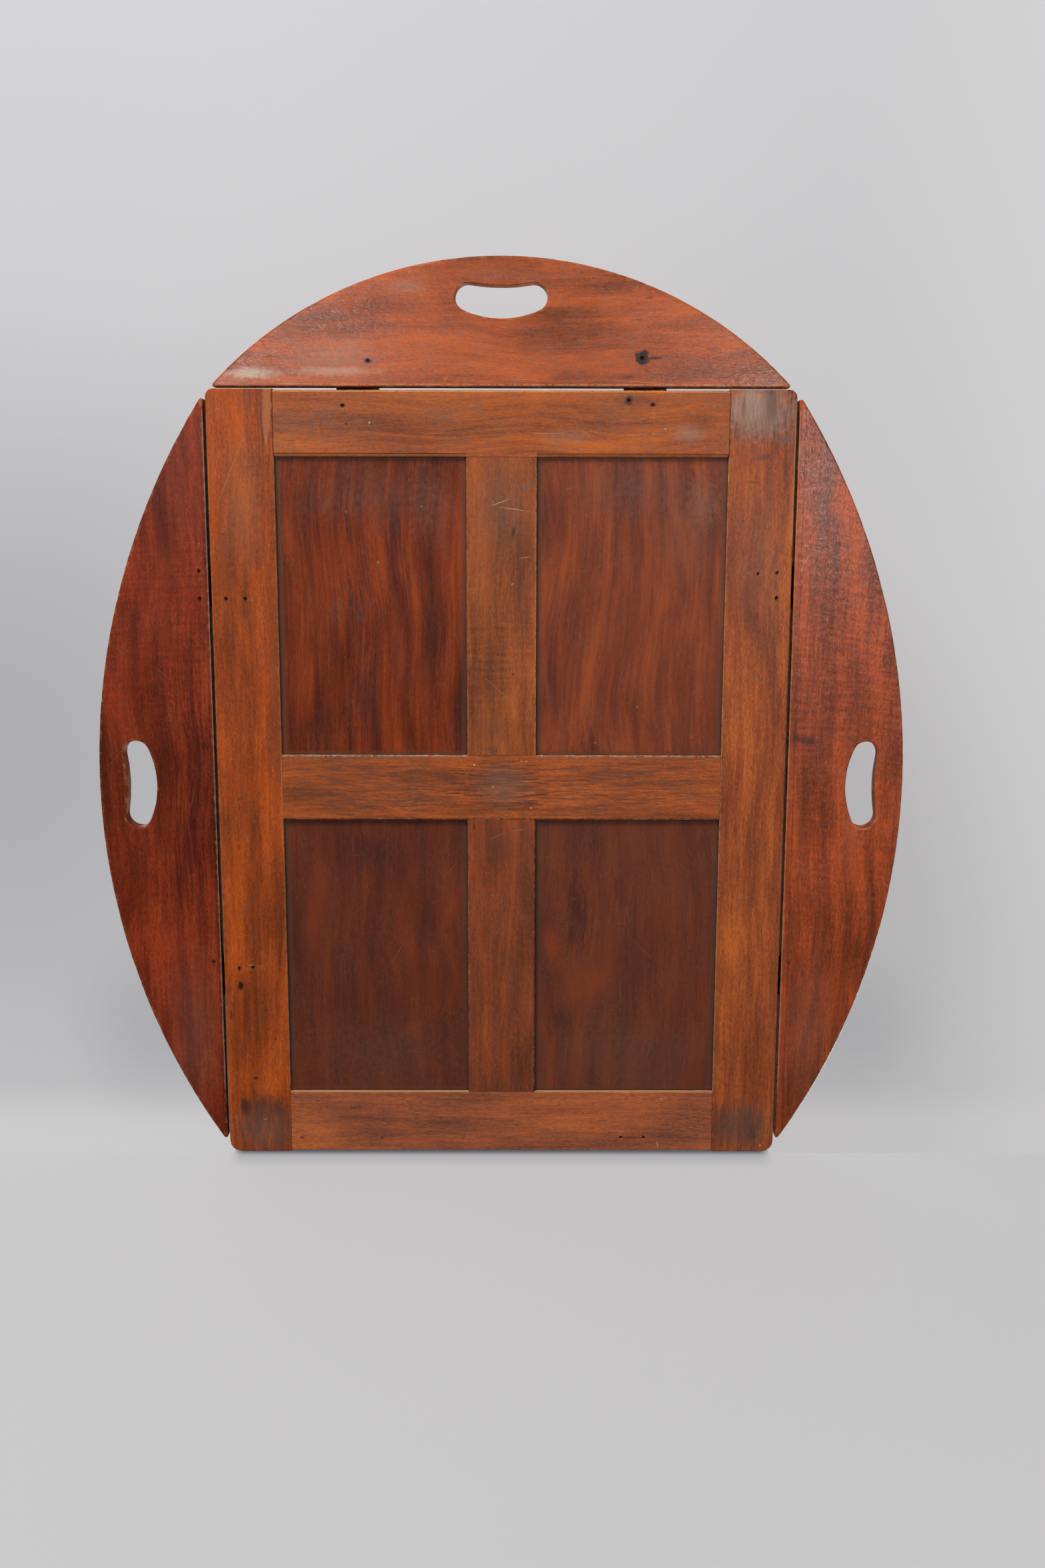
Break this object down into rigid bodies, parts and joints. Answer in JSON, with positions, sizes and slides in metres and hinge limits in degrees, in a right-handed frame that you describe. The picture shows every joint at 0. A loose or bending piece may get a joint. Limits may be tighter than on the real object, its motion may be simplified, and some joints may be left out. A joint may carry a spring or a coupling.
{
  "type": "butler tray",
  "caption": "Panelled hardwood serving tray whose curved flaps, each with a kidney-shaped hand-hole, swing up on sprung brass hinges to form its sides.",
  "frame": {"origin": "on the plane that the tray lies on, in the middle of the middle rail's underside", "axes": "+Z up through the serving face, +Y along the tray's length towards the top flap, +X towards the left flap, which is on the left when the tray is seen from below with +Y up"},
  "size_m": [0.755, 0.8554, 0.1286],
  "materials": {
    "frame_wood": "orange-brown mahogany with fine dark pores, old thin polish, scratched and worn pale on the arrises",
    "panel_wood": "dark red-brown figured mahogany, old semi-gloss polish with light scratches",
    "flap_wood": "red to orange-brown mahogany, polished, with a dented and rubbed outer edge",
    "brass": "aged brass, dulled and lightly scratched, darker in the corners",
    "steel": "dull spring steel, brushed along its length"
  },
  "bodies": {
    "base": {"left_stile": "frame_wood", "right_stile": "frame_wood", "top_rail": "frame_wood", "bottom_rail": "frame_wood", "middle_rail": "frame_wood", "upper_muntin": "frame_wood", "lower_muntin": "frame_wood", "upper_left_panel": "panel_wood", "upper_right_panel": "panel_wood", "lower_left_panel": "panel_wood", "lower_right_panel": "panel_wood", "top_left_hinge_frame_plate": "brass", "top_left_hinge_pin": "steel", "top_left_hinge_spring": "steel", "top_left_hinge_rivet": "brass", "top_right_hinge_frame_plate": "brass", "top_right_hinge_pin": "steel", "top_right_hinge_spring": "steel", "top_right_hinge_rivet": "brass", "bottom_left_hinge_frame_plate": "brass", "bottom_left_hinge_pin": "steel", "bottom_left_hinge_spring": "steel", "bottom_left_hinge_rivet": "brass", "bottom_right_hinge_frame_plate": "brass", "bottom_right_hinge_pin": "steel", "bottom_right_hinge_spring": "steel", "bottom_right_hinge_rivet": "brass", "left_upper_hinge_frame_plate": "brass", "left_upper_hinge_pin": "steel", "left_upper_hinge_spring": "steel", "left_upper_hinge_rivet": "brass", "left_lower_hinge_frame_plate": "brass", "left_lower_hinge_pin": "steel", "left_lower_hinge_spring": "steel", "left_lower_hinge_rivet": "brass", "right_upper_hinge_frame_plate": "brass", "right_upper_hinge_pin": "steel", "right_upper_hinge_spring": "steel", "right_upper_hinge_rivet": "brass", "right_lower_hinge_frame_plate": "brass", "right_lower_hinge_pin": "steel", "right_lower_hinge_spring": "steel", "right_lower_hinge_rivet": "brass"},
    "top_flap_body": {"top_flap": "flap_wood", "top_left_hinge_flap_plate": "brass", "top_right_hinge_flap_plate": "brass"},
    "bottom_flap_body": {"bottom_flap": "flap_wood", "bottom_left_hinge_flap_plate": "brass", "bottom_right_hinge_flap_plate": "brass"},
    "left_flap_body": {"left_flap": "flap_wood", "left_upper_hinge_flap_plate": "brass", "left_lower_hinge_flap_plate": "brass"},
    "right_flap_body": {"right_flap": "flap_wood", "right_upper_hinge_flap_plate": "brass", "right_lower_hinge_flap_plate": "brass"}
  },
  "joints": [
    {"name": "top_flap_hinge", "type": "hinge", "parent": "base", "child": "top_flap_body", "pos_m": [0, 0.36385, 0.014], "axis": [1, 0, 0], "range_deg": [0, 90]},
    {"name": "bottom_flap_hinge", "type": "hinge", "parent": "base", "child": "bottom_flap_body", "pos_m": [0, -0.36385, 0.014], "axis": [1, 0, 0], "range_deg": [0, 90]},
    {"name": "left_flap_hinge", "type": "hinge", "parent": "base", "child": "left_flap_body", "pos_m": [0.2675, 0, 0.014], "axis": [0, -1, 0], "range_deg": [0, 90]},
    {"name": "right_flap_hinge", "type": "hinge", "parent": "base", "child": "right_flap_body", "pos_m": [-0.2675, 0, 0.014], "axis": [0, 1, 0], "range_deg": [0, 90]}
  ]
}
